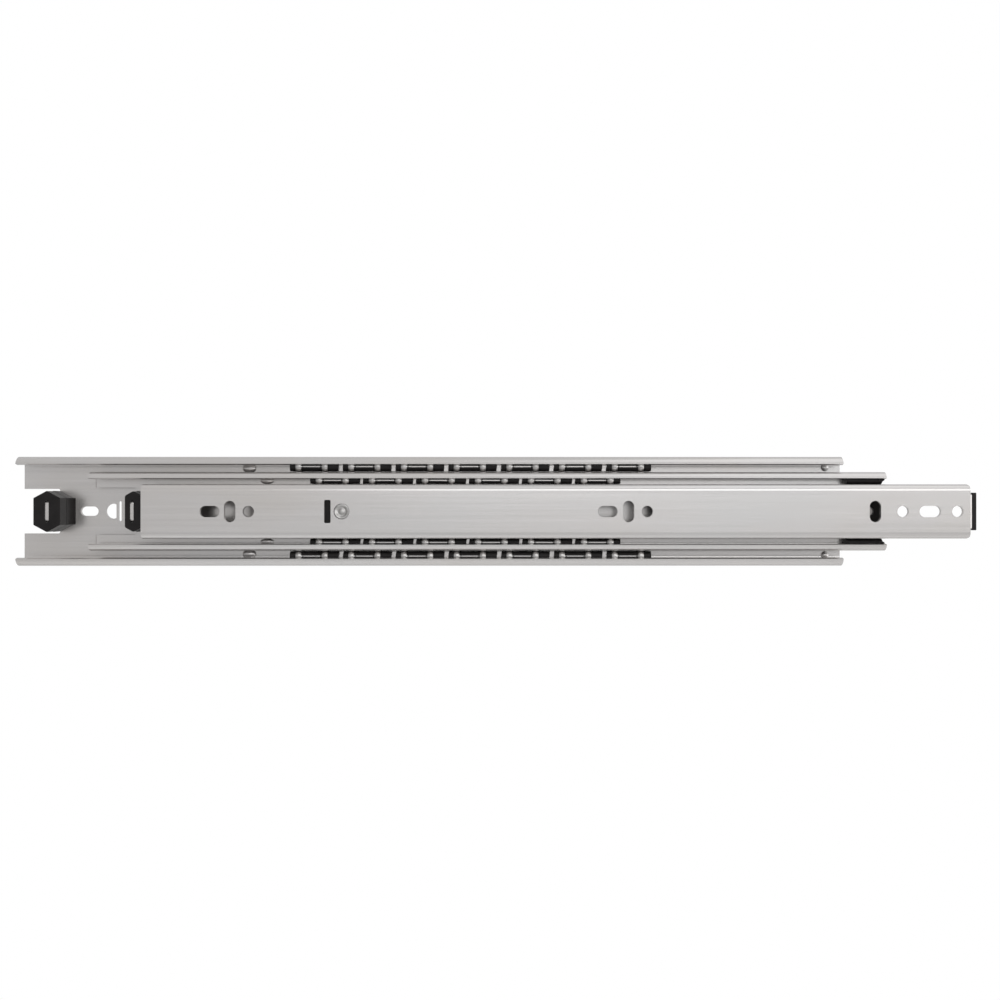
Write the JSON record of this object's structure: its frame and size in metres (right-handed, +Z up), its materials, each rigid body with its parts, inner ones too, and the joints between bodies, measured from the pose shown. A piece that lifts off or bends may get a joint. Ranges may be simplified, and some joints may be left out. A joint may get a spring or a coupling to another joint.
{
  "type": "cabinet drawer slide",
  "caption": "Full-extension ball-bearing drawer slide: nested zinc-plated steel channels on caged balls, with rubber stops and a plastic front guide, shown partly open.",
  "frame": {"origin": "centre of the cabinet member's mounting face", "axes": "+X the way the drawer opens, +Y into the cabinet side, +Z up"},
  "size_m": [0.4619, 0.0191, 0.053],
  "materials": {
    "zinc_steel": "bright zinc-plated cold-rolled steel with fine rolling streaks along its length",
    "bearing_steel": "polished bearing steel",
    "cage_plastic": "black moulded plastic with a slight sheen",
    "bumper_rubber": "dark grey moulded rubber"
  },
  "bodies": {
    "cabinet_member": {"outer_member": "zinc_steel", "rear_bumper": "bumper_rubber"},
    "intermediate": {"intermediate_member": "zinc_steel", "middle_bumper": "bumper_rubber", "front_guide": "cage_plastic"},
    "drawer_member": {"inner_member": "zinc_steel", "front_stop_pad": "bumper_rubber", "detent_pad": "cage_plastic", "detent_rivet": "bearing_steel"},
    "cabinet_side_cage": {"outer_cage": "cage_plastic", "outer_ball_top_01": "bearing_steel", "outer_ball_top_02": "bearing_steel", "outer_ball_top_03": "bearing_steel", "outer_ball_top_04": "bearing_steel", "outer_ball_top_05": "bearing_steel", "outer_ball_top_06": "bearing_steel", "outer_ball_top_07": "bearing_steel", "outer_ball_top_08": "bearing_steel", "outer_ball_top_09": "bearing_steel", "outer_ball_top_10": "bearing_steel", "outer_ball_top_11": "bearing_steel", "outer_ball_top_12": "bearing_steel", "outer_ball_top_13": "bearing_steel", "outer_ball_top_14": "bearing_steel", "outer_ball_bottom_01": "bearing_steel", "outer_ball_bottom_02": "bearing_steel", "outer_ball_bottom_03": "bearing_steel", "outer_ball_bottom_04": "bearing_steel", "outer_ball_bottom_05": "bearing_steel", "outer_ball_bottom_06": "bearing_steel", "outer_ball_bottom_07": "bearing_steel", "outer_ball_bottom_08": "bearing_steel", "outer_ball_bottom_09": "bearing_steel", "outer_ball_bottom_10": "bearing_steel", "outer_ball_bottom_11": "bearing_steel", "outer_ball_bottom_12": "bearing_steel", "outer_ball_bottom_13": "bearing_steel", "outer_ball_bottom_14": "bearing_steel"},
    "drawer_side_cage": {"inner_cage": "cage_plastic"}
  },
  "joints": [
    {"name": "intermediate_slide", "type": "slide", "parent": "cabinet_member", "child": "intermediate", "axis": [1, 0, 0], "range_m": [-0.0304, 0.167]},
    {"name": "inner_slide", "type": "slide", "parent": "intermediate", "child": "drawer_member", "axis": [1, 0, 0], "range_m": [-0.0277, 0.1749]},
    {"name": "outer_cage_roll", "type": "slide", "parent": "cabinet_member", "child": "cabinet_side_cage", "axis": [1, 0, 0], "range_m": [-0.0153, 0.0838]},
    {"name": "inner_cage_roll", "type": "slide", "parent": "intermediate", "child": "drawer_side_cage", "axis": [1, 0, 0], "range_m": [-0.014, 0.0876]}
  ],
  "couplings": [
    {"joint": "outer_cage_roll", "follows": "intermediate_slide", "ratio": 0.5},
    {"joint": "inner_cage_roll", "follows": "inner_slide", "ratio": 0.5}
  ]
}
